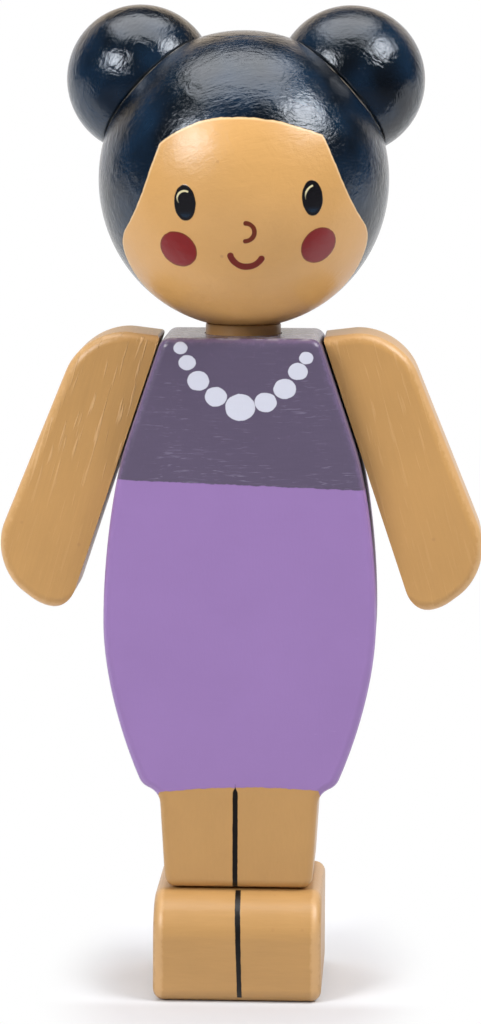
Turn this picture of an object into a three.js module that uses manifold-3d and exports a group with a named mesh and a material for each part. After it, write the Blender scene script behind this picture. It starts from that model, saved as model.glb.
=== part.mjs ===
// A wooden dolls' house figure, strung on elastic: a sawn body with the legs in one piece, a turned
// ball head with two glued hair buns, two sawn arms and a block for the feet.
// Millimetres, +Z up, the figure looks along -Y, and its soles stand on z = 0.
import * as THREE from "three";
import { mergeVertices } from "three/addons/utils/BufferGeometryUtils.js";
import Module from "manifold-3d";

const wasm = await Module();
wasm.setup();

// Gaps: a seam is left between pieces that are glued or rest on each other, a slip round what turns.
const seamGap = 0.3;
const slipGap = 0.3;
const ankleGap = 0.2;

// Feet block, cut from a bar; the toe is rolled over so that the block can swing under the leg.
const feetWidth = 20.3;
const feetHeight = 13;
const toeReach = 13;
const heelReach = 9.5;
const toeRound = 5.5;
const feetCornerRound = 1.6;
const feetEdgeRound = 1.3;

// Body, sawn from a board: heights are steps from the ankle up, widths are half widths.
const bodyDepth = 18;
const bodyEdgeRound = 1.1;
const bodyCornerRound = 1.4;
const legLength = 11.5;
const ankleHalfWidth = 8.9;
const kneeHalfWidth = 9.6;
const hemNotchRound = 2.2;
const hemRise = 1.05;
const hemHalfWidth = 11.75;
const hemCornerRound = 2;
const skirtLength = 19.75;
const hipHalfWidth = 16.4;
const waistLength = 21.5;
const shoulderLength = 12.8;
const collarHalfWidth = 9.4;
const shoulderTilt = THREE.MathUtils.degToRad(18.5);
const hemFlare = THREE.MathUtils.degToRad(24);
// How far each curve of the outline runs straight on from its ends, as a share of its own stretch.
const waistEaseShare = 0.21;
const hipEaseShare = 0.37;
const skirtEaseShare = 0.34;
const hemEaseShare = 0.29;

// Arms, sawn from a thinner board. Lengths are measured on the flat inner face from the shoulder bore.
const armDepth = 11.5;
const armAboveShoulder = 8.3;
const armBelowShoulder = 28.5;
const armTopThickness = 9.1;
const armHandThickness = 11.1;
const armEdgeRound = 1.3;
const armShoulderRound = 7.5;
const armHandRound = 7.2;
const armPalmRound = 3.3;
const armInnerRound = 0.5;
const armTopSlant = THREE.MathUtils.degToRad(11.5);
const handSlant = THREE.MathUtils.degToRad(18.7);
const shoulderDrop = 8;

// Head, neck and hair buns. The head's ball is a little taller than it is wide. A flat is cut this deep into
// it for each bun, and the bun's own middle stands this far off the flat.
const headRadius = 17.5;
const headHalfHeight = 17.85;
const neckRadius = 4.55;
const neckHeight = 1.3;
const neckSunk = 2;
const bunRadius = 9;
const bunFlatDepth = 2.4;
const bunStandsOff = 2.9;
const bunRise = THREE.MathUtils.degToRad(43);
const bunLean = THREE.MathUtils.degToRad(15);
const bunDowelRadius = 2;
const bunDowelLength = 10;

// Elastic, and the pins, toggles and plugs that hold it.
const shoulderCordRadius = 1.1;
const shoulderKnotRadius = 1.8;
const bushWall = 0.9;
const bushLength = 3;
const loopCordRadius = 0.7;
const pinRadius = 1.2;
const stringBoreRadius = 3.2;
const toggleBoreRadius = 5;
const headToggleDepth = 7;
const legPinRise = 10.8;
const legPinLength = 15;
const footCordSetback = 2;
const footToggleCeiling = 7;
const solePlugThickness = 2.2;

// How finely round shapes are cut: sides of a bore, a pin and so on, and the angle of one step of a fillet.
const boreSides = 16;
const pinSides = 12;
const cordSides = 8;
const neckSides = 32;
const toggleBoreSides = 24;
const headSides = 40;
const bunSides = 28;
const knotSides = 12;
const edgeRoundSteps = 3;
const outlineSteps = 8;
const shoulderCordSteps = 16;
const filletStep = 0.3;

// How far a cutting tool runs out past a face.
const runOut = 1;

const skinPaint = new THREE.MeshStandardMaterial({ color: 0xc4985f, roughness: 0.5, metalness: 0 });
const dressPaint = new THREE.MeshStandardMaterial({ color: 0x9d7db8, roughness: 0.5, metalness: 0 });
const hairLacquer = new THREE.MeshStandardMaterial({ color: 0x1a2436, roughness: 0.2, metalness: 0 });
const bareBeech = new THREE.MeshStandardMaterial({ color: 0xd2a878, roughness: 0.7, metalness: 0 });
const elastic = new THREE.MeshStandardMaterial({ color: 0xe8e4da, roughness: 0.9, metalness: 0 });

// A closed geometry as a solid that can be cut and joined.
function solidOf(geometry) {
  const bare = geometry.clone();
  bare.deleteAttribute("normal");
  bare.deleteAttribute("uv");
  const merged = mergeVertices(bare, 1e-4);
  return new wasm.Manifold(
    new wasm.Mesh({
      numProp: 3,
      vertProperties: new Float32Array(merged.attributes.position.array),
      triVerts: new Uint32Array(merged.index.array),
    }),
  );
}

// The surface of a solid as a geometry again.
function geometryOf(solid) {
  const mesh = solid.getMesh();
  const geometry = new THREE.BufferGeometry();
  geometry.setAttribute("position", new THREE.BufferAttribute(mesh.vertProperties, 3));
  geometry.setIndex(new THREE.BufferAttribute(mesh.triVerts, 1));
  geometry.computeVertexNormals();
  return geometry;
}

// One named piece of the figure.
function piece(name, solid, material) {
  const mesh = new THREE.Mesh(geometryOf(solid), material);
  mesh.name = name;
  return mesh;
}

// A round bar from one point to another, used for pins and, taken away, for bores.
function bar(from, to, radius, sides) {
  const along = new THREE.Vector3().subVectors(to, from);
  const turn = new THREE.Quaternion().setFromUnitVectors(
    new THREE.Vector3(0, 1, 0),
    along.clone().normalize(),
  );
  const geometry = new THREE.CylinderGeometry(radius, radius, along.length(), sides);
  geometry.applyQuaternion(turn);
  geometry.translate(...new THREE.Vector3().addVectors(from, to).divideScalar(2));
  return solidOf(geometry);
}

// A turned ball with its poles on the Z axis; it is round unless its half height is given.
function ball(radius, centre, sides, halfHeight = radius) {
  const geometry = new THREE.SphereGeometry(radius, sides, sides / 2);
  geometry.rotateX(Math.PI / 2);
  geometry.scale(1, 1, halfHeight / radius);
  geometry.translate(...centre);
  return solidOf(geometry);
}

// Outline points from corners [x, y, radius]. A fillet takes up to about half of the shorter edge beside it.
function roundCorners(corners) {
  const mostOfEdge = 0.49;
  return corners.flatMap(([x, y, radius = 0], i) => {
    const corner = new THREE.Vector2(x, y);
    if (radius === 0) return [corner];
    const before = new THREE.Vector2(...corners.at(i - 1)).sub(corner);
    const after = new THREE.Vector2(...corners[(i + 1) % corners.length]).sub(corner);
    const halfAngle = before.angleTo(after) / 2;
    const room = Math.min(before.length(), after.length()) * mostOfEdge;
    const tangent = Math.min(radius / Math.tan(halfAngle), room);
    const reach = tangent / Math.cos(halfAngle);
    const round = tangent * Math.tan(halfAngle);
    const centre = corner
      .clone()
      .add(before.clone().normalize().add(after.clone().normalize()).setLength(reach));
    const start = corner.clone().add(before.clone().setLength(tangent)).sub(centre);
    const end = corner.clone().add(after.clone().setLength(tangent)).sub(centre);
    const steps = Math.max(2, Math.round(start.angleTo(end) / filletStep));
    const sweep = Math.sign(start.cross(end)) * start.angleTo(end);
    return Array.from({ length: steps + 1 }, (_, k) =>
      start
        .clone()
        .rotateAround(new THREE.Vector2(), (sweep * k) / steps)
        .setLength(round)
        .add(centre),
    );
  });
}

// A board sawn to an outline, its edges rounded over; the board's thickness is centred on the outline.
function roundedBoard(outline, thickness, edgeRound) {
  const depth = thickness - 2 * edgeRound;
  const geometry = new THREE.ExtrudeGeometry(new THREE.Shape(outline), {
    depth,
    steps: 1,
    bevelThickness: edgeRound,
    bevelSize: edgeRound,
    bevelOffset: -edgeRound,
    bevelSegments: edgeRoundSteps,
  });
  geometry.translate(0, 0, -depth / 2);
  return geometry;
}

// Stands an outline drawn in x and y upright, so that y becomes height and the thickness runs front to back.
function standUp(geometry) {
  return geometry.rotateX(Math.PI / 2);
}

// The middle line of an endless loop: two straight strands `spread` from the line between two points, and a
// half circle round each point.
class LoopPath extends THREE.Curve {
  constructor(from, to, sideways, spread) {
    super();
    Object.assign(this, { from, to, sideways, spread });
    this.along = new THREE.Vector3().subVectors(to, from).normalize();
    this.straight = from.distanceTo(to);
    this.bend = Math.PI * spread;
  }

  getPoint(t, target = new THREE.Vector3()) {
    const half = this.straight + this.bend;
    const walked = (t % 1) * 2 * half;
    const [start, sign] = walked < half ? [this.from, 1] : [this.to, -1];
    const distance = walked % half;
    const angle = Math.max(0, distance - this.straight) / this.spread;
    return target
      .copy(start)
      .addScaledVector(this.along, sign * Math.min(distance, this.straight))
      .addScaledVector(this.sideways, sign * this.spread * Math.cos(angle))
      .addScaledVector(this.along, sign * this.spread * Math.sin(angle));
  }
}

// An endless elastic loop.
function loop(from, to, sideways, spread) {
  const path = new LoopPath(from, to, sideways, spread);
  const steps = Math.round(path.getLength() / (2 * loopCordRadius));
  return solidOf(new THREE.TubeGeometry(path, steps, loopCordRadius, cordSides, true));
}

// Heights, from the ground up.
const ankle = feetHeight + ankleGap;
const hemNotch = ankle + legLength;
const hem = hemNotch + hemRise;
const hips = hem + skirtLength;
const chest = hips + waistLength;
const bodyTop = chest + shoulderLength;
const neckTop = bodyTop + neckHeight;
const headBelowCentre = headHalfHeight * Math.sqrt(1 - (neckRadius / headRadius) ** 2);
const headCentre = new THREE.Vector3(0, 0, neckTop + headBelowCentre);
const crown = headCentre.z + headHalfHeight;
const bunSeat = headRadius - bunFlatDepth;
const bunReach = bunSeat + bunStandsOff;

// The arm turns about a line square to the slanted side of the body, through this point of its own inner face.
const shoulderHeight = bodyTop - shoulderDrop + seamGap * Math.sin(shoulderTilt);
const bodySideAtShoulder = collarHalfWidth + shoulderDrop * Math.tan(shoulderTilt);
const shoulder = new THREE.Vector3(
  bodySideAtShoulder + seamGap * Math.cos(shoulderTilt),
  0,
  shoulderHeight,
);
const shoulderAxis = new THREE.Vector3(Math.cos(shoulderTilt), 0, Math.sin(shoulderTilt));
// The two shoulder bores meet on the middle line, a little lower.
const stringMeet = new THREE.Vector3(0, 0, shoulder.z - shoulder.x * Math.tan(shoulderTilt));
const loopSpread = shoulderCordRadius + slipGap + loopCordRadius;
const pinSpread = pinRadius + slipGap + loopCordRadius;

// Body outline, right half from the top down; the left half mirrors it.
function bodyOutline() {
  const chestHalfWidth = collarHalfWidth + shoulderLength * Math.tan(shoulderTilt);
  const waistEase = waistEaseShare * waistLength;
  const hipEase = hipEaseShare * waistLength;
  const skirtEase = skirtEaseShare * skirtLength;
  const hemEase = hemEaseShare * skirtLength;
  const waist = new THREE.CubicBezierCurve(
    new THREE.Vector2(chestHalfWidth, chest),
    new THREE.Vector2(
      chestHalfWidth + waistEase * Math.sin(shoulderTilt),
      chest - waistEase * Math.cos(shoulderTilt),
    ),
    new THREE.Vector2(hipHalfWidth, hips + hipEase),
    new THREE.Vector2(hipHalfWidth, hips),
  );
  const skirt = new THREE.CubicBezierCurve(
    new THREE.Vector2(hipHalfWidth, hips),
    new THREE.Vector2(hipHalfWidth, hips - skirtEase),
    new THREE.Vector2(
      hemHalfWidth + hemEase * Math.sin(hemFlare),
      hem + hemEase * Math.cos(hemFlare),
    ),
    new THREE.Vector2(hemHalfWidth, hem),
  );
  const right = [
    [collarHalfWidth, bodyTop, bodyCornerRound],
    ...waist.getPoints(outlineSteps).slice(0, -1).map((p) => [p.x, p.y, 0]),
    ...skirt.getPoints(outlineSteps).slice(0, -1).map((p) => [p.x, p.y, 0]),
    [hemHalfWidth, hem, hemCornerRound],
    [kneeHalfWidth, hemNotch, hemNotchRound],
    [ankleHalfWidth, ankle, bodyCornerRound],
  ];
  const left = right.map(([x, y, radius]) => [-x, y, radius]).reverse();
  return roundCorners([...right, ...left]);
}

// The legs and the dress are one sawn board, bored for the neck, the arms' elastic and the feet's elastic.
function makeBody() {
  const neckBoreFloor = stringMeet.z - loopSpread - loopCordRadius - slipGap;
  const legBoreTop = ankle + legPinRise + pinSpread + loopCordRadius + slipGap;
  const footCordY = -footCordSetback;
  const shoulderBoreRadius = shoulderCordRadius + 2 * slipGap;
  let body = solidOf(standUp(roundedBoard(bodyOutline(), bodyDepth, bodyEdgeRound)));
  body = body.subtract(
    bar(
      new THREE.Vector3(0, 0, neckBoreFloor),
      new THREE.Vector3(0, 0, bodyTop + runOut),
      stringBoreRadius,
      boreSides,
    ),
  );
  body = body.subtract(
    bar(
      new THREE.Vector3(0, 0, bodyTop - neckSunk),
      new THREE.Vector3(0, 0, bodyTop + runOut),
      neckRadius + seamGap,
      neckSides,
    ),
  );
  for (const side of [1, -1]) {
    const outside = shoulder.clone().addScaledVector(shoulderAxis, runOut);
    outside.x *= side;
    body = body.subtract(bar(stringMeet, outside, shoulderBoreRadius, boreSides));
  }
  body = body.subtract(
    bar(
      new THREE.Vector3(0, footCordY, ankle - runOut),
      new THREE.Vector3(0, footCordY, legBoreTop),
      stringBoreRadius,
      boreSides,
    ),
  );
  body = body.subtract(
    bar(
      new THREE.Vector3(0, bodyDepth / 2 + runOut, ankle + legPinRise),
      new THREE.Vector3(0, bodyDepth / 2 - legPinLength - seamGap, ankle + legPinRise),
      pinRadius + seamGap,
      pinSides,
    ),
  );
  return piece("body", body, dressPaint);
}

// The pin that the feet's elastic hangs on goes in from the back of the legs.
function makeLegPin() {
  const back = new THREE.Vector3(0, bodyDepth / 2, ankle + legPinRise);
  const front = back.clone().setY(bodyDepth / 2 - legPinLength);
  return piece("leg_pin", bar(back, front, pinRadius, pinSides), bareBeech);
}

// The neck is a turned ring let into the top of the body; the head turns on it.
function makeNeckRing() {
  const foot = bodyTop - neckSunk + seamGap;
  const top = neckTop - slipGap;
  const outer = bar(
    new THREE.Vector3(0, 0, foot),
    new THREE.Vector3(0, 0, top),
    neckRadius,
    neckSides,
  );
  const inner = bar(
    new THREE.Vector3(0, 0, foot - runOut),
    new THREE.Vector3(0, 0, top + runOut),
    stringBoreRadius,
    boreSides,
  );
  return piece("neck_ring", outer.subtract(inner), skinPaint);
}

// Directions from the head's centre to the two buns: up, to the side and a little back.
function bunDirection(side) {
  return new THREE.Vector3(
    side * Math.cos(bunRise) * Math.cos(bunLean),
    Math.sin(bunLean),
    Math.sin(bunRise) * Math.cos(bunLean),
  );
}

// Cuts a solid flat, square to a direction, at a distance from the head's centre. It keeps the inner part
// when `inside` is true, the outer part otherwise.
function cutFlat(solid, direction, distance, inside) {
  const size = 4 * headRadius;
  const box = new THREE.BoxGeometry(size, size, size);
  box.translate(0, 0, inside ? size / 2 : -size / 2);
  box.applyQuaternion(
    new THREE.Quaternion().setFromUnitVectors(new THREE.Vector3(0, 0, 1), direction),
  );
  box.translate(...headCentre.clone().addScaledVector(direction, distance));
  return solid.subtract(solidOf(box));
}

const headToggleFloor = crown - headToggleDepth;
const headToggleHeight = headToggleFloor + slipGap + pinRadius;

// The head is a turned ball with a flat for each bun and for the neck, bored through for its elastic.
function makeHead() {
  let head = ball(headRadius, headCentre, headSides, headHalfHeight);
  head = cutFlat(head, new THREE.Vector3(0, 0, -1), headBelowCentre, true);
  head = head.subtract(
    bar(
      new THREE.Vector3(0, 0, neckTop - runOut),
      new THREE.Vector3(0, 0, crown),
      stringBoreRadius,
      boreSides,
    ),
  );
  head = head.subtract(
    bar(
      new THREE.Vector3(0, 0, headToggleFloor),
      new THREE.Vector3(0, 0, crown + runOut),
      toggleBoreRadius,
      toggleBoreSides,
    ),
  );
  for (const side of [1, -1]) {
    const direction = bunDirection(side);
    head = cutFlat(head, direction, bunSeat, true);
    head = head.subtract(dowelBore(direction, bunSeat - bunDowelLength / 2, bunSeat + runOut));
  }
  return piece("head", head, hairLacquer);
}

// A bore for a bun's dowel between two distances from the head's centre.
function dowelBore(direction, near, far) {
  return bar(
    headCentre.clone().addScaledVector(direction, near),
    headCentre.clone().addScaledVector(direction, far),
    bunDowelRadius + seamGap,
    boreSides,
  );
}

// A bun is a smaller ball, cut flat where it is glued to the head, on a dowel.
function makeBun(name, side) {
  const direction = bunDirection(side);
  const centre = headCentre.clone().addScaledVector(direction, bunReach);
  const flat = bunSeat + seamGap;
  let bun = ball(bunRadius, centre, bunSides);
  bun = cutFlat(bun, direction, flat, false);
  bun = bun.subtract(dowelBore(direction, flat - runOut, flat + bunDowelLength / 2));
  return piece(name, bun, hairLacquer);
}

function makeBunDowel(name, side) {
  const direction = bunDirection(side);
  const middle = bunSeat + seamGap / 2;
  const reach = bunDowelLength / 2 - seamGap;
  return piece(
    name,
    bar(
      headCentre.clone().addScaledVector(direction, middle - reach),
      headCentre.clone().addScaledVector(direction, middle + reach),
      bunDowelRadius,
      pinSides,
    ),
    bareBeech,
  );
}

// The toggle lies across the mouth of the string bore, in a wider bore that a domed plug closes.
function makeHeadToggle() {
  const reach = toggleBoreRadius - slipGap;
  return piece(
    "head_toggle",
    bar(
      new THREE.Vector3(-reach, 0, headToggleHeight),
      new THREE.Vector3(reach, 0, headToggleHeight),
      pinRadius,
      pinSides,
    ),
    bareBeech,
  );
}

function makeHeadPlug() {
  const foot = headToggleHeight + pinSpread + loopCordRadius + slipGap;
  const column = bar(
    new THREE.Vector3(0, 0, foot),
    new THREE.Vector3(0, 0, crown + runOut),
    toggleBoreRadius - seamGap,
    toggleBoreSides,
  );
  const dome = ball(headRadius, headCentre, headSides, headHalfHeight);
  return piece("head_plug", dome.intersect(column), hairLacquer);
}

// The head hangs on a loop that goes down round the arms' elastic and up round the toggle.
function makeHeadCord() {
  return piece(
    "head_cord",
    loop(
      stringMeet,
      new THREE.Vector3(0, 0, headToggleHeight),
      new THREE.Vector3(0, 1, 0),
      Math.max(loopSpread, pinSpread),
    ),
    elastic,
  );
}

const bushFace = slipGap;
const knotCentre = bushFace + bushLength + slipGap + shoulderKnotRadius;
const armBoreDepth = knotCentre + shoulderKnotRadius + slipGap;
const bushRadius = shoulderCordRadius + slipGap + bushWall;

// One elastic runs from arm to arm through the body and is knotted inside each arm.
function makeShoulderCord() {
  const end = (side) => {
    const point = shoulder.clone().addScaledVector(shoulderAxis, knotCentre);
    point.x *= side;
    return point;
  };
  const bendStart = (side) => {
    const point = stringMeet.clone().addScaledVector(shoulderAxis, 2 * shoulderCordRadius);
    point.x *= side;
    return point;
  };
  const path = new THREE.CurvePath();
  path.add(new THREE.LineCurve3(end(-1), bendStart(-1)));
  path.add(new THREE.QuadraticBezierCurve3(bendStart(-1), stringMeet, bendStart(1)));
  path.add(new THREE.LineCurve3(bendStart(1), end(1)));
  const section = new THREE.Shape().absarc(0, 0, shoulderCordRadius, 0, 2 * Math.PI);
  const tube = new THREE.ExtrudeGeometry(section, {
    curveSegments: cordSides / 2,
    steps: shoulderCordSteps,
    extrudePath: path,
  });
  let cord = solidOf(tube);
  for (const side of [1, -1]) {
    cord = cord.add(ball(shoulderKnotRadius, end(side), knotSides));
  }
  return piece("shoulder_cord", cord, elastic);
}

// An arm in its own frame: x runs out from the flat inner face, z up along it, and the shoulder bore is
// at the origin. A board with all its edges rounded over is sawn off along the inner face, and the two
// corners of that face are rounded.
function makeArm(name) {
  const topSlope = Math.tan(armTopSlant);
  const handSlope = Math.tan(handSlant);
  const inward = -armEdgeRound;
  const outward = 2 * armHandThickness;
  const outline = roundCorners([
    [inward, armAboveShoulder - inward * topSlope],
    [armTopThickness, armAboveShoulder - armTopThickness * topSlope, armShoulderRound],
    [armHandThickness, -armBelowShoulder + armHandThickness * handSlope, armHandRound],
    [inward, -armBelowShoulder + inward * handSlope, armPalmRound + armEdgeRound],
  ]);
  const sawn = roundCorners([
    [0, armAboveShoulder, armInnerRound],
    [outward, armAboveShoulder - outward * topSlope],
    [outward, -armBelowShoulder + outward * handSlope],
    [0, -armBelowShoulder, armPalmRound],
  ]);
  const sawCut = new THREE.ExtrudeGeometry(new THREE.Shape(sawn), { depth: 2 * armDepth, bevelEnabled: false });
  sawCut.translate(0, 0, -armDepth);
  const bore = bar(
    new THREE.Vector3(-runOut, 0, 0),
    new THREE.Vector3(armBoreDepth, 0, 0),
    bushRadius + seamGap,
    boreSides,
  );
  const arm = solidOf(standUp(roundedBoard(outline, armDepth, armEdgeRound)))
    .intersect(solidOf(standUp(sawCut)))
    .subtract(bore);
  return piece(name, arm, skinPaint);
}

// The bush is glued into the arm's bore and keeps the knot in.
function makeArmBush(name) {
  const from = new THREE.Vector3(bushFace, 0, 0);
  const to = new THREE.Vector3(bushFace + bushLength, 0, 0);
  const hole = bar(
    from.clone().setX(from.x - runOut),
    to.clone().setX(to.x + runOut),
    shoulderCordRadius + slipGap,
    boreSides,
  );
  return piece(name, bar(from, to, bushRadius, boreSides).subtract(hole), bareBeech);
}

// Both arms are the same piece: the right one is turned half round the figure's own axis.
function makeShoulder(side, suffix) {
  const hangs = new THREE.Group();
  hangs.position.copy(shoulder);
  hangs.rotation.y = -shoulderTilt;
  hangs.add(makeArm("arm_" + suffix), makeArmBush("arm_bush_" + suffix));
  const turned = new THREE.Group();
  turned.rotation.z = side > 0 ? 0 : Math.PI;
  turned.add(hangs);
  return turned;
}

const footToggleHeight = footToggleCeiling - slipGap - pinRadius;

// The feet are one block, bored for the elastic and, from the sole, for the toggle that holds it.
function makeFeet() {
  const outline = roundCorners([
    [-toeReach, 0, feetCornerRound],
    [-toeReach, feetHeight, toeRound],
    [heelReach, feetHeight, feetCornerRound],
    [heelReach, 0, feetCornerRound],
  ]);
  const block = roundedBoard(outline, feetWidth, feetEdgeRound);
  block.applyMatrix4(
    new THREE.Matrix4().makeBasis(
      new THREE.Vector3(0, 1, 0),
      new THREE.Vector3(0, 0, 1),
      new THREE.Vector3(1, 0, 0),
    ),
  );
  const stringBore = bar(
    new THREE.Vector3(0, -footCordSetback, footToggleCeiling - runOut),
    new THREE.Vector3(0, -footCordSetback, feetHeight + runOut),
    stringBoreRadius,
    boreSides,
  );
  const toggleBore = bar(
    new THREE.Vector3(0, -footCordSetback, -runOut),
    new THREE.Vector3(0, -footCordSetback, footToggleCeiling),
    toggleBoreRadius,
    toggleBoreSides,
  );
  return piece("feet", solidOf(block).subtract(stringBore).subtract(toggleBore), skinPaint);
}

function makeFootToggle() {
  const reach = toggleBoreRadius - slipGap;
  return piece(
    "foot_toggle",
    bar(
      new THREE.Vector3(0, -footCordSetback - reach, footToggleHeight),
      new THREE.Vector3(0, -footCordSetback + reach, footToggleHeight),
      pinRadius,
      pinSides,
    ),
    bareBeech,
  );
}

function makeSolePlug() {
  return piece(
    "sole_plug",
    bar(
      new THREE.Vector3(0, -footCordSetback, 0),
      new THREE.Vector3(0, -footCordSetback, solePlugThickness),
      toggleBoreRadius - seamGap,
      toggleBoreSides,
    ),
    skinPaint,
  );
}

// The feet hang on a loop round the leg pin and the toggle in the sole.
function makeFootCord() {
  return piece(
    "foot_cord",
    loop(
      new THREE.Vector3(0, -footCordSetback, footToggleHeight),
      new THREE.Vector3(0, -footCordSetback, ankle + legPinRise),
      new THREE.Vector3(1, 0, 0),
      pinSpread,
    ),
    elastic,
  );
}

const figure = new THREE.Group();
figure.add(
  makeBody(),
  makeLegPin(),
  makeNeckRing(),
  makeShoulderCord(),
  makeShoulder(1, "left"),
  makeShoulder(-1, "right"),
  makeHead(),
  makeBun("hair_bun_left", 1),
  makeBun("hair_bun_right", -1),
  makeBunDowel("bun_dowel_left", 1),
  makeBunDowel("bun_dowel_right", -1),
  makeHeadToggle(),
  makeHeadPlug(),
  makeHeadCord(),
  makeFeet(),
  makeFootToggle(),
  makeSolePlug(),
  makeFootCord(),
);

export default figure;
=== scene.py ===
# A wooden dolls' house figure strung on elastic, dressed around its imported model.
# Everything is in metres in the model's own frame: the soles stand on z = 0 and the figure looks along -Y.
import math

import bmesh
import bpy
from mathutils import Matrix, Vector


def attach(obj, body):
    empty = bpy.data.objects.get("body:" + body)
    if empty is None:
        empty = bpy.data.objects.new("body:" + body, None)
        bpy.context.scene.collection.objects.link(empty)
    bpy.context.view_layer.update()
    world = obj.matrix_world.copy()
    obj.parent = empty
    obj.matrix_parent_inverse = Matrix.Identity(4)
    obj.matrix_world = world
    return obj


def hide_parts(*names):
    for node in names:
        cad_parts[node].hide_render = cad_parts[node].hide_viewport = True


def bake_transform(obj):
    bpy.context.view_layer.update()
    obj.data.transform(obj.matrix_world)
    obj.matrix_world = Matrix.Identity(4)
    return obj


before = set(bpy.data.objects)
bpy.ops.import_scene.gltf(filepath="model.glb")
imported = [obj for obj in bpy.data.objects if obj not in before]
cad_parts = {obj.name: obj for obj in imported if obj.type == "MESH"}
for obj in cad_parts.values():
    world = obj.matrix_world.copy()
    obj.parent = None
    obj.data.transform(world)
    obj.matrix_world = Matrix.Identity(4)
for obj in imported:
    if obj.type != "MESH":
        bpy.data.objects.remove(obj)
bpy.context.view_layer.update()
mm = 0.001
up = Vector((0, 0, 1))

# Camera. A long lens half a metre off and a touch to one side, looking a little down. It leans by a fifth
# of a degree, as the handmade figure leans in its photograph.
camera_turn = math.radians(2.5)
camera_pitch = math.radians(7.32)
camera_lean = math.radians(0.2)
camera_distance = 480 * mm
camera_aside = -0.27 * mm
camera_height = 119.6 * mm

towards_camera = Vector((math.sin(camera_turn), -math.cos(camera_turn), 0))
beside_camera = Vector((math.cos(camera_turn), math.sin(camera_turn), 0))
camera_place = camera_distance * towards_camera + camera_aside * beside_camera + camera_height * up
bpy.ops.object.camera_add()
camera = bpy.context.object
camera.data.lens = 139.76
camera.data.sensor_width = 36
camera.matrix_world = (
    Matrix.Translation(camera_place)
    @ Matrix.Rotation(camera_turn, 4, "Z")
    @ Matrix.Rotation(math.pi / 2 - camera_pitch, 4, "X")
    @ Matrix.Rotation(camera_lean, 4, "Z")
)
bpy.context.scene.camera = camera
bpy.context.scene.view_settings.view_transform = "Standard"

# Elastic. A round braided cord joins the arms, and two endless loops of thinner cord hold the head and the
# feet. Each loop goes round a pin at both ends; on the toy it twists as the head turns and bends as the
# feet fold, while here each is made as one still tube.
leg_pin_height = 24.0 * mm
foot_pin_height = 5.5 * mm
foot_loop_setback = 2 * mm
shoulder_strings_meet = 67.759 * mm
head_pin_height = 110.686 * mm
loop_radius = 0.7 * mm
loop_spread = 2.2 * mm
loop_point_spacing = 0.5 * mm


def linear(red, green, blue):
    """A paint's colour, given as it looks on a screen from 0 to 255, as Blender's linear light."""
    shares = [value / 255 for value in (red, green, blue)]
    return [c / 12.92 if c <= 0.04045 else ((c + 0.055) / 1.055) ** 2.4 for c in shares] + [1]


def feed(tree, socket, value):
    """Sets a socket to a plain value, or joins another node's output to it."""
    if isinstance(value, bpy.types.NodeSocket):
        tree.links.new(value, socket)
    else:
        socket.default_value = value


def calc(tree, operation, *values, clamp=False):
    """One step of arithmetic on numbers that change over a surface."""
    node = tree.nodes.new("ShaderNodeMath")
    node.operation = operation
    node.use_clamp = clamp
    for socket, value in zip(node.inputs, values):
        feed(tree, socket, value)
    return node.outputs[0]


def times(tree, one, other):
    return calc(tree, "MULTIPLY", one, other)


def plus(tree, one, other):
    return calc(tree, "ADD", one, other)


def ramp(tree, value, low, high, at_low=0.0, at_high=1.0):
    """Runs smoothly from one number to another while the value goes from low to high."""
    node = tree.nodes.new("ShaderNodeMapRange")
    node.interpolation_type = "SMOOTHSTEP"
    for socket, number in zip(node.inputs, (value, low, high, at_low, at_high)):
        feed(tree, socket, number)
    return node.outputs[0]


def mix(tree, share, plain, covering):
    """One colour laid over another, as far as the mask says."""
    node = tree.nodes.new("ShaderNodeMix")
    node.data_type = "RGBA"
    feed(tree, node.inputs["Factor"], share)
    feed(tree, node.inputs[6], plain)
    feed(tree, node.inputs[7], covering)
    return node.outputs[2]


def tinted(tree, colour, brightness):
    """A colour made lighter or darker by a value round 1."""
    node = tree.nodes.new("ShaderNodeVectorMath")
    node.operation = "SCALE"
    feed(tree, node.inputs[0], colour if isinstance(colour, bpy.types.NodeSocket) else colour[:3])
    feed(tree, node.inputs["Scale"], brightness)
    return node.outputs[0]


def place(tree, vector=None, centre=(0, 0, 0), turn=(0, 0, 0), unit=(mm, mm, mm)):
    """Measures a point from a centre, along turned axes, in units of its own. Millimetres are usual."""
    node = tree.nodes.new("ShaderNodeMapping")
    node.vector_type = "TEXTURE"
    if vector is None:
        vector = tree.nodes.new("ShaderNodeTexCoord").outputs["Object"]
    feed(tree, node.inputs["Vector"], vector)
    feed(tree, node.inputs["Location"], centre)
    feed(tree, node.inputs["Rotation"], turn)
    feed(tree, node.inputs["Scale"], unit)
    return node.outputs[0]


def axes(tree, vector):
    """The three coordinates of a point."""
    node = tree.nodes.new("ShaderNodeSeparateXYZ")
    feed(tree, node.inputs[0], vector)
    return node.outputs


def noise(tree, vector, scale, detail=3.0, roughness=0.5, distortion=0.0):
    """Cloudy noise round one half."""
    node = tree.nodes.new("ShaderNodeTexNoise")
    sockets = ("Vector", "Scale", "Detail", "Roughness", "Distortion")
    for name, value in zip(sockets, (vector, scale, detail, roughness, distortion)):
        feed(tree, node.inputs[name], value)
    return node.outputs["Fac"]


def finish(name, colour_of, ior=1.5, specular_tint=(1, 1, 1, 1)):
    """A material from a function that returns its colour, roughness and height in metres."""
    material = bpy.data.materials.new(name)
    material.use_nodes = True
    tree = material.node_tree
    shader = tree.nodes["Principled BSDF"]
    shader.inputs["IOR"].default_value = ior
    shader.inputs["Specular Tint"].default_value = specular_tint
    colour, roughness, height = colour_of(tree)
    feed(tree, shader.inputs["Base Color"], colour)
    feed(tree, shader.inputs["Roughness"], roughness)
    bump = tree.nodes.new("ShaderNodeBump")
    bump.inputs["Distance"].default_value = 1
    feed(tree, bump.inputs["Height"], height)
    feed(tree, shader.inputs["Normal"], bump.outputs[0])
    return material


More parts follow.
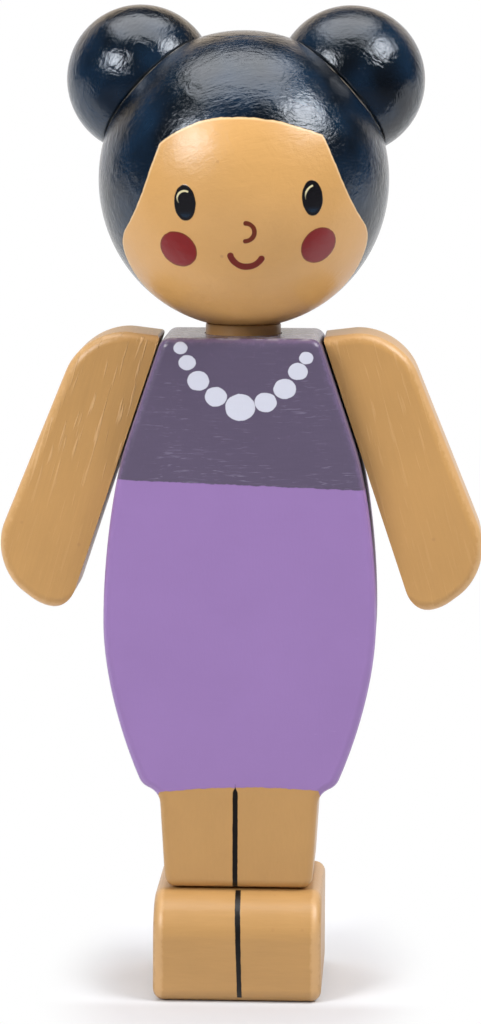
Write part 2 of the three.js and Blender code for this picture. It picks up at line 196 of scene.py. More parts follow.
yarn_shade = linear(178, 172, 158)
yarn_white = linear(234, 231, 222)


def elastic_braid(tree):
    """Two sets of slanting yarns cross each other round the cord."""
    yarns = []
    for slant in (45, -45):
        node = tree.nodes.new("ShaderNodeTexWave")
        feed(tree, node.inputs["Vector"], place(tree, turn=(math.radians(slant), math.radians(slant), 0)))
        feed(tree, node.inputs["Scale"], 0.55)
        feed(tree, node.inputs["Distortion"], 0.4)
        yarns.append(node.outputs["Fac"])
    over = calc(tree, "MAXIMUM", *yarns)
    fluff = noise(tree, place(tree), 6.0)
    colour = mix(tree, over, yarn_shade, yarn_white)
    rough = calc(tree, "MULTIPLY_ADD", fluff, 0.15, 0.78)
    height = times(tree, plus(tree, over, fluff), 0.00006)
    return colour, rough, height


elastic = finish("elastic", elastic_braid)


def loop_line(low, high, sideways):
    """Points of an endless loop: two straight strands, and a half circle round each end."""
    along = (high - low).normalized()
    straight = (high - low).length
    strand_steps = round(straight / loop_point_spacing)
    turn_steps = 14
    points = []
    for start, sign in ((low, 1), (high, -1)):
        for step in range(strand_steps):
            walked = straight * step / strand_steps
            points.append(start + sign * (walked * along + loop_spread * sideways))
        for step in range(turn_steps):
            angle = math.pi * step / turn_steps
            round_the_pin = math.cos(angle) * sideways + math.sin(angle) * along
            points.append(start + sign * (straight * along + loop_spread * round_the_pin))
    return points


def only(piece):
    """Selects one piece alone and works on it."""
    bpy.ops.object.select_all(action="DESELECT")
    piece.select_set(True)
    bpy.context.view_layer.objects.active = piece


def elastic_loop(name, low, high, sideways):
    """A loop of elastic as a closed tube."""
    line = bpy.data.curves.new(name, "CURVE")
    line.dimensions = "3D"
    line.bevel_depth = loop_radius
    line.bevel_resolution = 4
    spline = line.splines.new("POLY")
    points = loop_line(low, high, sideways)
    spline.points.add(len(points) - 1)
    for point, place_on_line in zip(spline.points, points):
        point.co = (*place_on_line, 1)
    spline.use_cyclic_u = True
    tube = bpy.data.objects.new(name, line)
    bpy.context.collection.objects.link(tube)
    only(tube)
    bpy.ops.object.convert(target="MESH")
    bpy.ops.object.shade_smooth()
    tube.data.materials.clear()
    tube.data.materials.append(elastic)
    return tube


foot_loop = elastic_loop(
    "foot_loop",
    Vector((0, -foot_loop_setback, foot_pin_height)),
    Vector((0, -foot_loop_setback, leg_pin_height)),
    Vector((1, 0, 0)),
)
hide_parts("foot_cord")
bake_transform(foot_loop)

head_loop = elastic_loop(
    "head_loop",
    Vector((0, 0, shoulder_strings_meet)),
    Vector((0, 0, head_pin_height)),
    Vector((0, 1, 0)),
)
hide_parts("head_cord")
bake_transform(head_loop)


def dress_node(name, material):
    """Gives a piece of the model that stays as it is its own finish."""
    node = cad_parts[name]
    node.data.materials.clear()
    node.data.materials.append(material)


dress_node("shoulder_cord", elastic)

# Body. One board of beech sawn to the outline of dress and legs, its edges rounded over front and back and
# bored for the elastic. Two purples are brushed on for the dress, tan for the legs, and white dots and a
# fine black line are painted on top.
body_half_depth = 9 * mm
body_edge_round = 1.1 * mm
shoulder_tilt = math.radians(18.5)
hem_flare = math.radians(24)
string_bore = 3.2 * mm
# In millimetres, as the outline and the paint are drawn
ankle_height = 13.2
hem_middle_height = 25.62
hem_side_height = 25.75
waist_line_height = 62.33
collar_height = 79.8
leg_half_width = 9.6
ankle = ankle_height * mm
arc_step = 0.2
touching = 0.01 * mm


def bezier(start, start_handle, end_handle, end, steps=16):
    """Points along a smooth curve, without its last one."""
    points = []
    for step in range(steps):
        t = step / steps
        shares = ((1 - t) ** 3, 3 * t * (1 - t) ** 2, 3 * t * t * (1 - t), t**3)
        corners = (start, start_handle, end_handle, end)
        points.append(sum((s * Vector(c) for s, c in zip(shares, corners)), Vector((0, 0))))
    return points


def rounded_corner(before, corner, after, radius):
    """Points of the arc that takes a corner off an outline."""
    corner = Vector(corner)
    back = (Vector(before) - corner).normalized()
    on = (Vector(after) - corner).normalized()
    half_angle = back.angle(on) / 2
    tangent = radius / math.tan(half_angle)
    centre = corner + (back + on).normalized() * radius / math.sin(half_angle)
    first = corner + back * tangent - centre
    sweep = math.pi - 2 * half_angle
    steps = max(2, round(sweep / arc_step))
    if first.x * on.y - first.y * on.x < 0:
        sweep = -sweep
    return [centre + Matrix.Rotation(sweep * step / steps, 2) @ first for step in range(steps + 1)]


def body_outline():
    """Half widths and heights in millimetres, from the ankle up to the collar."""
    hips = (16.4, 45.5)
    hem = (11.75, hem_side_height)
    knee = (leg_half_width, 24.7)
    ankle_corner = (8.9, ankle_height)
    collar = (9.4, collar_height)
    chest_drop = 12.8
    chest = (collar[0] + chest_drop * math.tan(shoulder_tilt), 67.0)
    skirt_rise = 19.75
    bodice_rise = 21.5
    waist_ease = 0.21 * bodice_rise
    hem_ease = 0.29 * skirt_rise
    skirt = bezier(
        hem,
        (hem[0] + hem_ease * math.sin(hem_flare), hem[1] + hem_ease * math.cos(hem_flare)),
        (hips[0], hips[1] - 0.34 * skirt_rise),
        hips,
    )
    waist = bezier(
        hips,
        (hips[0], hips[1] + 0.37 * bodice_rise),
        (
            chest[0] + waist_ease * math.sin(shoulder_tilt),
            chest[1] - waist_ease * math.cos(shoulder_tilt),
        ),
        chest,
    )
    return [
        *rounded_corner((0, ankle_height), ankle_corner, knee, 1.4),
        *rounded_corner(ankle_corner, knee, hem, 2.2),
        *rounded_corner(knee, hem, skirt[1], 2.0),
        *skirt[1:],
        *waist,
        Vector(chest),
        *rounded_corner(chest, collar, (0, collar_height), 1.4),
    ]


def pick(piece, kind, chosen):
    """In edit mode, selects the faces or the edges that a test of the element picks out."""
    bpy.ops.mesh.select_mode(type=kind)
    bpy.ops.mesh.select_all(action="DESELECT")
    shape = bmesh.from_edit_mesh(piece.data)
    shape.normal_update()
    for element in shape.faces if kind == "FACE" else shape.edges:
        if chosen(element):
            element.select_set(True)
    bmesh.update_edit_mesh(piece.data)


def both_ends(test):
    """A test of an edge that asks the same of both its ends."""
    return lambda edge: all(test(vertex.co) for vertex in edge.verts)


def rims(axis, distance):
    """A test for the edges round the two faces that lie this far on either side of the middle."""
    nearest = distance - touching
    return lambda edge: any(
        all(side * vertex.co[axis] > nearest for vertex in edge.verts) for side in (1, -1)
    )


def edit(piece):
    only(piece)
    bpy.ops.object.mode_set(mode="EDIT")


def leave_edit():
    bpy.ops.object.mode_set(mode="OBJECT")


def round_over(piece, chosen, offset, segments):
    """Rounds the edges that the test picks out."""
    edit(piece)
    pick(piece, "EDGE", chosen)
    bpy.ops.mesh.bevel(offset=offset, segments=segments, profile=0.5, affect="EDGES", clamp_overlap=False)
    leave_edit()


def cut_with(piece, tool, operation="DIFFERENCE"):
    """Cuts a piece with another shape, which is then put away."""
    cut = piece.modifiers.new("cut", "BOOLEAN")
    cut.operation = operation
    cut.solver = "EXACT"
    cut.object = tool
    only(piece)
    bpy.ops.object.modifier_apply(modifier=cut.name)
    bpy.data.objects.remove(tool)


def rod(start, end, radius, sides):
    """A round rod from one point to another."""
    along = end - start
    bpy.ops.mesh.primitive_cylinder_add(
        vertices=sides,
        radius=radius,
        depth=along.length,
        location=(start + end) / 2,
        rotation=along.to_track_quat("Z", "Y").to_euler(),
    )
    return bpy.context.object


def bore(piece, start, end, radius, sides=48):
    """Drills a round hole from one point to another."""
    cut_with(piece, rod(start, end, radius, sides))


def ease_rim(piece, on_rim, spacing, offset):
    """Evens out the points of a sawn or bored rim, and takes the sharpness off it."""
    edit(piece)
    pick(piece, "EDGE", on_rim)
    bpy.ops.mesh.remove_doubles(threshold=spacing)
    leave_edit()
    round_over(piece, on_rim, offset, 3)


def settle():
    """Fixes the place, turn and size of the selected piece into its mesh."""
    bpy.ops.object.transform_apply(location=True, rotation=True, scale=True)


def sand(piece, name, material, slot, body, *nodes, crease=32):
    """Smooths the shading, keeps flat faces flat, and puts the finished piece in its place."""
    piece.name = name
    piece.data.name = name
    only(piece)
    settle()
    bpy.ops.object.shade_smooth_by_angle(angle=math.radians(crease))
    even = piece.modifiers.new("even shading", "WEIGHTED_NORMAL")
    even.keep_sharp = True
    even.weight = 80
    bpy.ops.object.modifier_apply(modifier=even.name)
    piece.data.materials.clear()
    piece.data.materials.append(material)
    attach(piece, body)
    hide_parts(*nodes)


def saw_body():
    stations = body_outline()
    foot, first = stations[0], stations[1]
    bpy.ops.mesh.primitive_cube_add(size=2, location=(0, 0, (foot.y + first.y) / 2 * mm))
    board = bpy.context.object
    board.scale = (foot.x * mm, body_half_depth, (first.y - foot.y) / 2 * mm)
    settle()
    edit(board)
    pick(board, "FACE", lambda face: face.normal.z > 0.9)
    bpy.ops.transform.resize(value=(first.x / foot.x, 1, 1), center_override=(0, 0, first.y * mm))
    for below, above in zip(stations[1:], stations[2:]):
        bpy.ops.mesh.extrude_region_move(TRANSFORM_OT_translate={"value": (0, 0, (above.y - below.y) * mm)})
        bpy.ops.transform.resize(value=(above.x / below.x, 1, 1), center_override=(0, 0, above.y * mm))
    bpy.ops.mesh.select_all(action="SELECT")
    bpy.ops.mesh.normals_make_consistent(inside=False)
    pick(board, "FACE", lambda face: abs(face.normal.y) > 0.9)
    bpy.ops.mesh.dissolve_faces()
    leave_edit()
    round_over(board, rims(1, body_half_depth), body_edge_round, 6)
    return board


shoulder_axis = Vector((math.cos(shoulder_tilt), 0, math.sin(shoulder_tilt)))
shoulder = Vector((12.3613 * mm, 0, 71.8952 * mm))
strings_meet = Vector((0, 0, shoulder_strings_meet))
body_top = collar_height * mm
neck_recess_radius = 4.7 * mm
arm_string_bore = 1.7 * mm
pin_bore = 1.25 * mm

body = saw_body()
bore(body, strings_meet - 3.1 * mm * up, (body_top + mm) * up, string_bore)
bore(body, (body_top - 2 * mm) * up, (body_top + mm) * up, neck_recess_radius, 64)
for side in (1, -1):
    outside = shoulder + mm * shoulder_axis
    bore(body, strings_meet, Vector((side * outside.x, 0, outside.z)), arm_string_bore)
foot_bore_line = Vector((0, -foot_loop_setback, 0))
bore(body, foot_bore_line + (ankle - mm) * up, foot_bore_line + 27.2 * mm * up, string_bore)
bore(body, Vector((0, 10 * mm, leg_pin_height)), Vector((0, -6.3 * mm, leg_pin_height)), pin_bore)


def effect(name, inputs, outputs):
    """An empty node group with its sockets; returns the group, its input values and its output sockets."""
    group = bpy.data.node_groups.new(name, "ShaderNodeTree")
    for socket, value in inputs.items():
        kind = "NodeSocketVector" if value is None else "NodeSocketFloat"
        made = group.interface.new_socket(socket, in_out="INPUT", socket_type=kind)
        if value is not None:
            made.default_value = value
    for socket in outputs:
        group.interface.new_socket(socket, in_out="OUTPUT", socket_type="NodeSocketFloat")
    given = group.nodes.new("NodeGroupInput").outputs
    result = group.nodes.new("NodeGroupOutput").inputs
    return group, given, result


def apply_effect(tree, group, *values):
    """Places an effect in a material with its own values; returns its outputs."""
    node = tree.nodes.new("ShaderNodeGroup")
    node.node_tree = group
    for socket, value in zip(node.inputs, values):
        feed(tree, socket, value)
    return node.outputs


def minus(tree, one, other):
    return calc(tree, "SUBTRACT", one, other)


def swing(tree, value, by, about=1.0):
    """Makes of cloudy noise a small change about another value."""
    return calc(tree, "MULTIPLY_ADD", minus(tree, value, 0.5), by, about)


def make_brush_strokes():
    """Long fine streaks along the last axis, broken up by broader ones, as a brush leaves them."""
    group, given, result = effect("brush strokes", {"Vector": None, "Length": 8.0}, ["Streaks", "Drift"])
    points = axes(group, given["Vector"])
    drawn_out = group.nodes.new("ShaderNodeCombineXYZ")
    feed(group, drawn_out.inputs[0], points[0])
    feed(group, drawn_out.inputs[1], points[1])
    feed(group, drawn_out.inputs[2], calc(group, "DIVIDE", points[2], given["Length"]))
    fine = noise(group, drawn_out.outputs[0], 3.2, 4.0, 0.6, 0.3)
    broad = noise(group, drawn_out.outputs[0], 0.7, 2.0, 0.5, 0.6)
    both = calc(group, "MULTIPLY_ADD", broad, 0.45, times(group, fine, 0.55))
    feed(group, result["Streaks"], both)
    feed(group, result["Drift"], noise(group, given["Vector"], 0.11, 2.0))
    return group


def make_painted_edge():
    """Where paint stops: inside a shape, by a distance in millimetres, with a slightly unsteady edge."""
    sockets = {"Vector": None, "Distance": 0.0, "Wobble": 0.1, "Softness": 0.06}
    group, given, result = effect("painted edge", sockets, ["Mask"])
    unsteady = noise(group, given["Vector"], 1.1, 3.0)
    distance = swing(group, unsteady, given["Wobble"], given["Distance"])
    softness = given["Softness"]
    outer = times(group, softness, -1.0)
    feed(group, result["Mask"], ramp(group, distance, outer, softness))
    return group


def make_oval():
    """How far inside an oval a point is, seen from the front; negative outside it."""
    sockets = {"Vector": None, "X": 0.0, "Z": 0.0, "Half width": 1.0, "Half height": 1.0, "Turn": 0.0}
    group, given, result = effect("oval", sockets, ["Distance"])
    points = axes(group, given["Vector"])
    across = minus(group, points[0], given["X"])
    rise = minus(group, points[2], given["Z"])
    cosine = calc(group, "COSINE", given["Turn"])
    sine = calc(group, "SINE", given["Turn"])
    turned_x = plus(group, times(group, across, cosine), times(group, rise, sine))
    turned_z = minus(group, times(group, rise, cosine), times(group, across, sine))
    share_x = calc(group, "POWER", calc(group, "DIVIDE", turned_x, given["Half width"]), 2.0)
    share_z = calc(group, "POWER", calc(group, "DIVIDE", turned_z, given["Half height"]), 2.0)
    reach = calc(group, "SQRT", plus(group, share_x, share_z))
    shorter = calc(group, "MINIMUM", given["Half width"], given["Half height"])
    feed(group, result["Distance"], times(group, minus(group, 1.0, reach), shorter))
    return group


def make_specks():
    """Tiny sparse spots of dust under the paint."""
    group, given, result = effect("specks", {"Vector": None, "Scale": 0.8, "Share": 0.12}, ["Mask"])
    cells = group.nodes.new("ShaderNodeTexVoronoi")
    feed(group, cells.inputs["Vector"], given["Vector"])
    feed(group, cells.inputs["Scale"], given["Scale"])
    colour = group.nodes.new("ShaderNodeSeparateColor")
    feed(group, colour.inputs[0], cells.outputs["Color"])
    rare = calc(group, "LESS_THAN", colour.outputs[0], given["Share"])
    near = ramp(group, cells.outputs["Distance"], 0.16, 0.06)
    feed(group, result["Mask"], times(group, rare, near))
    return group


def make_edge_highlight_band():
    """A ragged band between two distances from the middle of a board, where a lighter colour is painted
    along rounded edges as a highlight.
    """
    sockets = {"Vector": None, "Distance": 0.0, "From": 4.4, "To": 5.6}
    group, given, result = effect("edge highlight band", sockets, ["Mask"])
    ragged = minus(group, noise(group, given["Vector"], 1.4, 4.0, 0.65), 0.5)
    distance = calc(group, "MULTIPLY_ADD", ragged, 0.7, calc(group, "ABSOLUTE", given["Distance"]))
    inner = ramp(group, distance, minus(group, given["From"], 0.3), plus(group, given["From"], 0.2))
    outer = ramp(group, distance, plus(group, given["To"], 0.1), minus(group, given["To"], 0.25))
    feed(group, result["Mask"], times(group, inner, outer))
    return group


brush_strokes = make_brush_strokes()
edge_highlight_band = make_edge_highlight_band()
painted_edge = make_painted_edge()
oval = make_oval()
specks = make_specks()

tan = linear(185, 142, 87)
tan_on_arms = linear(191, 146, 88)
# A lighter tan, painted as a highlight along rounded edges and in the furrows high on the arms
tan_highlight = linear(226, 184, 134)
tan_deep = linear(176, 131, 82)
bodice_purple = linear(94, 84, 107)
bodice_stroke = linear(132, 124, 148)
# A lighter purple, painted as a highlight along the rounded edges of the bodice
bodice_edge_highlight = linear(122, 104, 140)
skirt_lilac = linear(149, 118, 175)
bead_white = linear(207, 209, 223)
line_black = linear(16, 13, 12)
# A pale grey for the top of the body, partly dust and partly a painted reflection
dust_and_sheen_grey = linear(196, 192, 200)


def paint_mask(tree, points, inside, wobble, softness):
    """Where a shape is painted, by how far inside it a point lies."""
    return apply_effect(tree, painted_edge, points, inside, wobble, softness)[0]


def tan_paint(tree, along, stretch=10.0, strength=1.0, paint=tan):
    """Satin tan paint over beech: brush marks along one axis, a slow drift of tone and a few specks."""
    streaks, drift = apply_effect(tree, brush_strokes, along, stretch)
    tone = swing(tree, streaks, 0.22 * strength)
    tone = plus(tree, tone, times(tree, minus(tree, drift, 0.5), 0.16))
    colour = tinted(tree, paint, tone)
    dark = apply_effect(tree, specks, along, 0.55, 0.06)[0]
    colour = mix(tree, times(tree, dark, 0.55), colour, tan_deep)
    roughness = calc(tree, "MULTIPLY_ADD", streaks, 0.14, 0.28)
    height = times(tree, streaks, 0.00004 * strength)
    return colour, roughness, height


def body_paint(tree):
    points = place(tree)
    x, y, z = axes(tree, points)
    tan_colour, tan_rough, tan_height = tan_paint(tree, points, 3.0, 0.6)

    across = place(tree, turn=(0, math.radians(90), 0))
    streaks, drift = apply_effect(tree, brush_strokes, across, 7.0)
    short_strokes = noise(tree, place(tree, unit=(2.2 * mm, mm, 0.24 * mm)), 1.0, 2.5, 0.55, 0.9)
    patchy = ramp(tree, noise(tree, points, 0.16, 2.0), 0.42, 0.6)
    dry_brush = times(tree, ramp(tree, short_strokes, 0.56, 0.74), patchy)
    lower = ramp(tree, z, 78.0, 68.0, 0.25, 0.75)
    bodice = mix(tree, times(tree, dry_brush, lower), bodice_purple, bodice_stroke)
    tone = swing(tree, drift, 0.10)
    bodice = tinted(tree, bodice, swing(tree, streaks, 0.16, tone))
    skirt_tone = swing(tree, streaks, 0.03, tone)
    skirt = tinted(tree, skirt_lilac, skirt_tone)
    # A lighter purple painted along the rounded edges of the bodice, as a highlight
    edge = apply_effect(tree, edge_highlight_band, points, y, 7.95, 8.85)[0]
    bodice = mix(tree, times(tree, edge, 0.6), bodice, bodice_edge_highlight)
    # The top face is painted pale grey in patches: partly dust, partly a painted reflection of the bright
    # room
    dust_and_sheen_top = times(tree, ramp(tree, z, 79.5, 79.78), ramp(tree, noise(tree, points, 0.7), 0.35, 0.65))
    bodice = mix(tree, times(tree, dust_and_sheen_top, 0.5), bodice, dust_and_sheen_grey)

    waist_height = calc(tree, "MULTIPLY_ADD", x, -0.036, waist_line_height)
    above_waist = minus(tree, z, waist_height)
    bodice_mask = paint_mask(tree, points, above_waist, 0.35, 0.05)
    dress = mix(tree, bodice_mask, skirt, bodice)

    slope = calc(tree, "MULTIPLY_ADD", x, 0.02, hem_middle_height)
    arch = calc(tree, "MULTIPLY_ADD", calc(tree, "POWER", x, 2.0), -0.0055, slope)
    beyond_leg = calc(tree, "MAXIMUM", minus(tree, calc(tree, "ABSOLUTE", x), leg_half_width), 0.0)
    hem_height = calc(tree, "MULTIPLY_ADD", beyond_leg, -3.0, arch)
    above_hem = minus(tree, z, hem_height)
    dress_mask = paint_mask(tree, points, above_hem, 0.35, 0.05)
    colour = mix(tree, dress_mask, tan_colour, dress)

    front = calc(tree, "LESS_THAN", y, 0.0)
    beads = None
    for bead_x, bead_z, radius in (
        (-7.11, 78.69, 0.83),
        (-6.29, 76.96, 1.02),
        (-4.98, 74.78, 1.31),
        (-2.88, 72.89, 1.31),
        (0.04, 71.64, 1.79),
        (3.07, 72.26, 1.31),
        (5.34, 73.90, 1.34),
        (6.90, 75.97, 1.15),
        (7.87, 77.59, 0.83),
    ):
        inside = apply_effect(tree, oval, points, bead_x, bead_z, radius, 0.89 * radius, 0.0)[0]
        beads = inside if beads is None else calc(tree, "MAXIMUM", beads, inside)
    bead_mask = paint_mask(tree, points, beads, 0.22, 0.05)
    bead_mask = times(tree, bead_mask, front)
    colour = mix(tree, bead_mask, colour, bead_white)

    line_half_width = ramp(tree, z, hem_side_height, 24.9, 0.0, 0.31)
    from_line = calc(tree, "ABSOLUTE", plus(tree, x, 0.4))
    inside_line = minus(tree, line_half_width, from_line)
    line_mask = paint_mask(tree, points, inside_line, 0.12, 0.04)
    on_faces = ramp(tree, calc(tree, "ABSOLUTE", y), 8.1, 8.3)
    on_legs = times(tree, on_faces, calc(tree, "LESS_THAN", z, 26.0))
    line_mask = times(tree, line_mask, on_legs)
    colour = mix(tree, line_mask, colour, line_black)

    end_grain = times(tree, ramp(tree, calc(tree, "ABSOLUTE", y), 8.6, 7.9), ramp(tree, z, 79.4, 78.8))
    grain_rough = calc(tree, "MULTIPLY_ADD", end_grain, 0.3, 0.22)
    dress_rough = calc(tree, "MULTIPLY_ADD", streaks, 0.08, grain_rough)
    rough_mix = minus(tree, dress_rough, tan_rough)
    roughness = calc(tree, "MULTIPLY_ADD", rough_mix, dress_mask, tan_rough)
    layers = plus(tree, plus(tree, bodice_mask, dress_mask), plus(tree, bead_mask, line_mask))
    height = calc(tree, "MULTIPLY_ADD", layers, 0.00003, tan_height)
    height = calc(tree, "MULTIPLY_ADD", times(tree, streaks, bodice_mask), 0.00003, height)
    return colour, roughness, height


sand(body, "body_board", finish("dress_and_legs", body_paint), "dress_paint", "body", "body")

# Neck. A short turned ring let into the top of the body. The head turns on its rounded upper rim, and the
# head's elastic runs up through it.
neck_top = 81.1 * mm
neck_radius = 4.55 * mm


def turn_ring(foot, top, radius, hole, rim):
    bpy.ops.mesh.primitive_cylinder_add(
        vertices=72, radius=radius, depth=top - foot, location=(0, 0, (foot + top) / 2)
    )
    ring = bpy.context.object
    settle()
    edit(ring)
    pick(ring, "FACE", lambda face: abs(face.normal.z) > 0.9)
    bpy.ops.mesh.inset(thickness=radius - hole)
    bpy.ops.mesh.bridge_edge_loops()
    leave_edit()
    upper_rim = both_ends(lambda p: p.xy.length > radius - touching and p.z > top - touching)
    round_over(ring, upper_rim, rim, 4)
    return ring


def neck_paint(tree):
    points = place(tree)
    colour, roughness, height = tan_paint(tree, points, 0.4)
    z = axes(tree, points)[2]
    # Below its upper rim the ring is painted darker, as the shade under the head
    painted_shading = ramp(tree, z, 81.0, 80.5)
    return mix(tree, times(tree, painted_shading, 0.5), colour, tan_deep), roughness, height


neck = turn_ring(body_top - 1.7 * mm, neck_top - 0.05 * mm, neck_radius, string_bore, 0.25 * mm)
sand(neck, "neck", finish("neck_paint", neck_paint), "skin_paint", "body", "neck_ring")

# Pins and dowels. Turned from bare beech: one that the feet's elastic hangs on, pushed in flush from the
# back of the legs, two toggles that hold the loops in head and feet, the buns' dowels and the arms' bushes.
beech = linear(214, 178, 132)
beech_dark = linear(176, 132, 86)
beech_fleck = linear(140, 98, 62)


def bare_beech(tree):
    """Straight fine grain with the short dark flecks that mark beech."""
    grain = noise(tree, place(tree, unit=(0.5 * mm, 4 * mm, 0.5 * mm)), 1.0, 4.0, 0.6, 0.4)
    fleck = ramp(tree, noise(tree, place(tree, unit=(0.3 * mm, 1.6 * mm, 0.3 * mm)), 1.0, 1.0), 0.64, 0.7)
    colour = mix(tree, ramp(tree, grain, 0.35, 0.7), beech, beech_dark)
    colour = mix(tree, times(tree, fleck, 0.5), colour, beech_fleck)
    roughness = calc(tree, "MULTIPLY_ADD", grain, 0.2, 0.55)
    return colour, roughness, times(tree, grain, 0.00003)


raw_beech = finish("bare_beech", bare_beech)


def turn_pin(start, end, radius):
    """A round pin with both its ends eased."""
    pin = rod(start, end, radius, 40)
    settle()
    direction = (end - start).normalized()
    at_end = lambda p: min(abs((p - start).dot(direction)), abs((p - end).dot(direction))) < touching
    round_over(pin, both_ends(at_end), 0.15 * mm, 3)
    return pin


pin_radius = 1.2 * mm
leg_pin = turn_pin(Vector((0, 9 * mm, leg_pin_height)), Vector((0, -6 * mm, leg_pin_height)), pin_radius)
sand(leg_pin, "pin_in_legs", raw_beech, "bare_beech", "body", "leg_pin")
hidden_woodwork = ("head_toggle", "foot_toggle", "bun_dowel_left", "bun_dowel_right")
for node in (*hidden_woodwork, "arm_bush_left", "arm_bush_right"):
    dress_node(node, raw_beech)

# Head. A turned ball, a little taller than it is wide, with a flat for each bun and for the neck, bored
# through for its elastic and closed at the crown by a domed plug. The hair is blue-black lacquer over top
# and back; the face keeps the tan, and eyes, cheeks, nose and mouth are painted on it.
head_radius = 17.5 * mm
head_half_height = 17.85 * mm
head_centre = Vector((0, 0, 98.336 * mm))
crown = head_centre.z + head_half_height
bun_seat = 15.1 * mm
bun_rise = math.radians(43)
bun_lean = math.radians(15)
dowel_depth = 5 * mm
dowel_bore = 2.3 * mm
saw_tolerance = 0.001 * mm
on_the_cut = 0.005 * mm
toggle_bore = 5 * mm
toggle_floor = crown - 7 * mm
plug_radius = 4.96 * mm
plug_foot = 113.886 * mm


def bun_direction(side):
    flat = math.cos(bun_lean)
    return Vector((side * math.cos(bun_rise) * flat, math.sin(bun_lean), math.sin(bun_rise) * flat))


def turn_head_ball():
    bpy.ops.mesh.primitive_uv_sphere_add(
        segments=128, ring_count=80, radius=head_radius, location=head_centre
    )
    ball = bpy.context.object
    ball.scale.z = head_half_height / head_radius
    settle()
    return ball


def saw_flat(piece, point, direction):
    """Saws off what lies beyond a plane; returns a test for the edges of its rim."""
    edit(piece)
    bpy.ops.mesh.select_all(action="SELECT")
    bpy.ops.mesh.bisect(
        plane_co=point, plane_no=direction, use_fill=True, clear_outer=True, threshold=saw_tolerance
    )
    leave_edit()
    return both_ends(lambda p: abs((p - point).dot(direction)) < on_the_cut)


head = turn_head_ball()
ease_rim(head, saw_flat(head, neck_top * up, -up), spacing=0.1 * mm, offset=0.12 * mm)
for side in (1, -1):
    seat = head_centre + bun_seat * bun_direction(side)
    saw_flat(head, seat, bun_direction(side))
    bore(head, seat - dowel_depth * bun_direction(side), seat + mm * bun_direction(side), dowel_bore)
bore(head, (neck_top - mm) * up, (toggle_floor + mm) * up, string_bore, 64)
bore(head, toggle_floor * up, (crown + mm) * up, toggle_bore, 96)


def rim_of(radius):
    """A test for the ring of edges round the crown at a distance from the middle line."""
    return both_ends(lambda p: abs(p.xy.length - radius) < 0.02 * mm and p.z > crown - 1.5 * mm)


ease_rim(head, rim_of(toggle_bore), spacing=0.12 * mm, offset=0.05 * mm)

plug = turn_head_ball()
saw_flat(plug, plug_foot * up, -up)
bpy.ops.mesh.primitive_cylinder_add(vertices=96, radius=plug_radius, depth=8 * mm, location=crown * up)
cut_with(plug, bpy.context.object, "INTERSECT")
ease_rim(plug, rim_of(plug_radius), spacing=0.12 * mm, offset=0.05 * mm)

hair_black = linear(10, 15, 22)
hair_blue = linear(20, 40, 61)
# A pale colour painted along the rims of the bun seats, as a highlight
seat_rim_highlight = linear(170, 158, 138)
tan_on_face = linear(208, 159, 95)
hairline_cream = linear(232, 200, 152)
cheek_red = linear(129, 28, 28)
cheek_rim = linear(120, 44, 28)
eye_black = linear(20, 18, 22)
# A blue painted low in the eyes, as a reflection
eye_reflection_blue = linear(24, 42, 60)
eye_glint = linear(216, 207, 165)
nose_brown = linear(108, 40, 16)
mouth_red = linear(114, 34, 22)
face_turn = math.radians(4.4)
face_lean = math.radians(-1.8)
hair_sweep = (0, math.radians(80), math.radians(10))


def along(tree, vector, direction):
    """How far a point lies from the centre along a direction."""
    node = tree.nodes.new("ShaderNodeVectorMath")
    node.operation = "DOT_PRODUCT"
    feed(tree, node.inputs[0], vector)
    feed(tree, node.inputs[1], direction)
    return node.outputs["Value"]


def make_arc():
    """How far a point is, seen from the front, from an arc of a circle."""
    sockets = {"Vector": None, "X": 0.0, "Z": 0.0, "Radius": 1.0, "Middle": 0.0, "Spread": 1.0}
    group, given, result = effect("arc", sockets, ["Distance"])
    points = axes(group, given["Vector"])
    across = minus(group, points[0], given["X"])
    rise = minus(group, points[2], given["Z"])
    angle = minus(group, calc(group, "ARCTAN2", rise, across), given["Middle"])
    angle = calc(group, "WRAP", angle, math.pi, -math.pi)
    angle = calc(group, "MINIMUM", angle, given["Spread"])
    angle = calc(group, "MAXIMUM", angle, times(group, given["Spread"], -1.0))
    angle = plus(group, angle, given["Middle"])
    reach_x = times(group, calc(group, "COSINE", angle), given["Radius"])
    reach_z = times(group, calc(group, "SINE", angle), given["Radius"])
    off_x = minus(group, across, reach_x)
    off_z = minus(group, rise, reach_z)
    square = plus(group, calc(group, "POWER", off_x, 2.0), calc(group, "POWER", off_z, 2.0))
    feed(group, result["Distance"], calc(group, "SQRT", square))
    return group


arc = make_arc()


def arc_through(start, middle, end):
    """Centre, radius, middle angle and half spread of the arc through three points."""
    start, middle, end = Vector(start), Vector(middle), Vector(end)
    a, b = middle - start, end - start
    double = 2 * (a.x * b.y - a.y * b.x)
    centre = start + Vector(
        (
            (b.y * a.length_squared - a.y * b.length_squared) / double,
            (a.x * b.length_squared - b.x * a.length_squared) / double,
        )
    )
    spread = ((middle - centre).angle(start - centre) + (middle - centre).angle(end - centre)) / 2
    halfway = (start - centre).normalized() + (end - centre).normalized()
    if spread > math.pi / 2:
        halfway = -halfway
    return centre.x, centre.y, (middle - centre).length, math.atan2(halfway.y, halfway.x), spread


